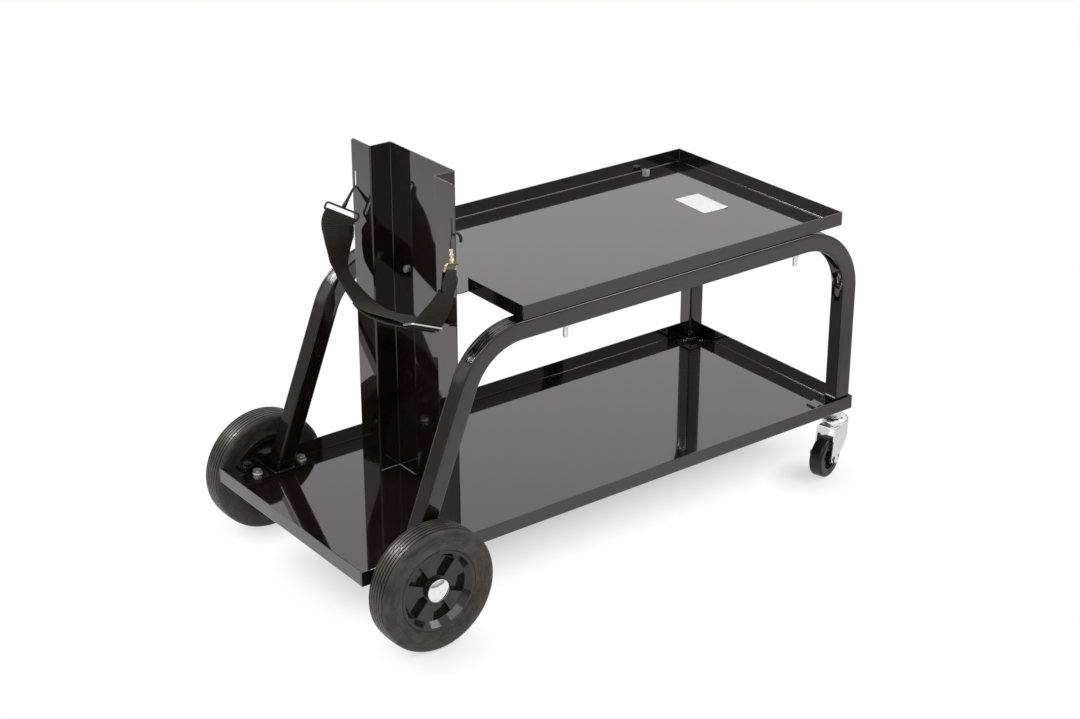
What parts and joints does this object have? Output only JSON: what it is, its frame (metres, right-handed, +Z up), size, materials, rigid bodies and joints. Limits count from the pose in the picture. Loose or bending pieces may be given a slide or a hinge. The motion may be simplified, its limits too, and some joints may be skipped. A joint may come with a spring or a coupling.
{
  "type": "welding machine cart",
  "caption": "Two-tray trolley for a welding machine, with a rear support and strap for a gas bottle, two large rear wheels and two swivel casters.",
  "frame": {"origin": "on the floor, under the middle of the cart", "axes": "+X along the cart towards the casters, +Y to its left side, +Z up"},
  "size_m": [1.004, 0.531, 0.6695],
  "materials": {
    "powder_black": "gloss black powder coat",
    "zinc_plate": "bright zinc plate",
    "bright_steel": "bright steel",
    "tyre_rubber": "matt rubber with a dusty bloom",
    "rim_plastic": "satin black moulding",
    "caster_rubber": "satin black rubber",
    "webbing": "woven webbing, dark olive black",
    "black_wire": "black coated wire",
    "brass_wire": "yellow passivated wire"
  },
  "bodies": {
    "cart": {"base_tray": "powder_black", "upper_tray": "powder_black", "bottle_support": "powder_black", "side_frame_left": "powder_black", "side_frame_right": "powder_black", "rear_foot_plate_left": "powder_black", "rear_foot_plate_right": "powder_black", "front_foot_plate_left": "powder_black", "front_foot_plate_right": "powder_black", "rear_axle": "bright_steel", "axle_bracket_left": "powder_black", "axle_bracket_right": "powder_black", "axle_spacers": "powder_black", "axle_washers": "zinc_plate", "axle_caps": "zinc_plate", "caster_studs": "zinc_plate", "caster_bells": "zinc_plate", "stud_nuts": "zinc_plate", "stud_jam_nuts": "zinc_plate", "stud_washers": "zinc_plate", "rear_foot_bolts": "zinc_plate", "rear_foot_washers": "zinc_plate", "rear_foot_nuts": "zinc_plate", "tray_bolts": "zinc_plate", "tray_nuts": "zinc_plate", "support_bolts": "zinc_plate", "support_nuts": "zinc_plate", "support_foot_bolts": "zinc_plate", "support_foot_nuts": "zinc_plate", "front_foot_bolts": "black_wire", "front_foot_nuts": "zinc_plate", "strap_webbing": "webbing", "strap_buckle": "bright_steel", "strap_ring_left": "black_wire", "strap_ring_right": "brass_wire", "strap_hook_left": "black_wire", "strap_hook_right": "black_wire"},
    "rear_wheel_left": {"rear_tyre_left": "tyre_rubber", "rear_rim_left": "rim_plastic", "rear_bush_left": "bright_steel"},
    "rear_wheel_right": {"rear_tyre_right": "tyre_rubber", "rear_rim_right": "rim_plastic", "rear_bush_right": "bright_steel"},
    "caster_swivel_left": {"caster_fork_left": "zinc_plate", "caster_balls_left": "bright_steel", "caster_bush_left": "bright_steel", "caster_bolt_left": "zinc_plate", "caster_nut_left": "zinc_plate"},
    "caster_swivel_right": {"caster_fork_right": "zinc_plate", "caster_balls_right": "bright_steel", "caster_bush_right": "bright_steel", "caster_bolt_right": "zinc_plate", "caster_nut_right": "zinc_plate"},
    "caster_wheel_left": {"caster_tyre_left": "caster_rubber", "caster_core_left": "rim_plastic"},
    "caster_wheel_right": {"caster_tyre_right": "caster_rubber", "caster_core_right": "rim_plastic"}
  },
  "joints": [
    {"name": "rear_wheel_left_spin", "type": "hinge", "parent": "cart", "child": "rear_wheel_left", "pos_m": [-0.4, 0.2415, 0.1], "axis": [0, 1, 0], "continuous": true},
    {"name": "rear_wheel_right_spin", "type": "hinge", "parent": "cart", "child": "rear_wheel_right", "pos_m": [-0.4, -0.2415, 0.1], "axis": [0, 1, 0], "continuous": true},
    {"name": "caster_left_swivel", "type": "hinge", "parent": "cart", "child": "caster_swivel_left", "pos_m": [0.481, 0.1905, 0.09], "axis": [0, 0, 1], "continuous": true},
    {"name": "caster_right_swivel", "type": "hinge", "parent": "cart", "child": "caster_swivel_right", "pos_m": [0.481, -0.1905, 0.09], "axis": [0, 0, 1], "continuous": true},
    {"name": "caster_left_roll", "type": "hinge", "parent": "caster_swivel_left", "child": "caster_wheel_left", "pos_m": [0.45166, 0.19674, 0.036], "axis": [0.2079, 0.9781, 0], "continuous": true},
    {"name": "caster_right_roll", "type": "hinge", "parent": "caster_swivel_right", "child": "caster_wheel_right", "pos_m": [0.45224, -0.19902, 0.036], "axis": [-0.284, 0.9588, 0], "continuous": true}
  ]
}
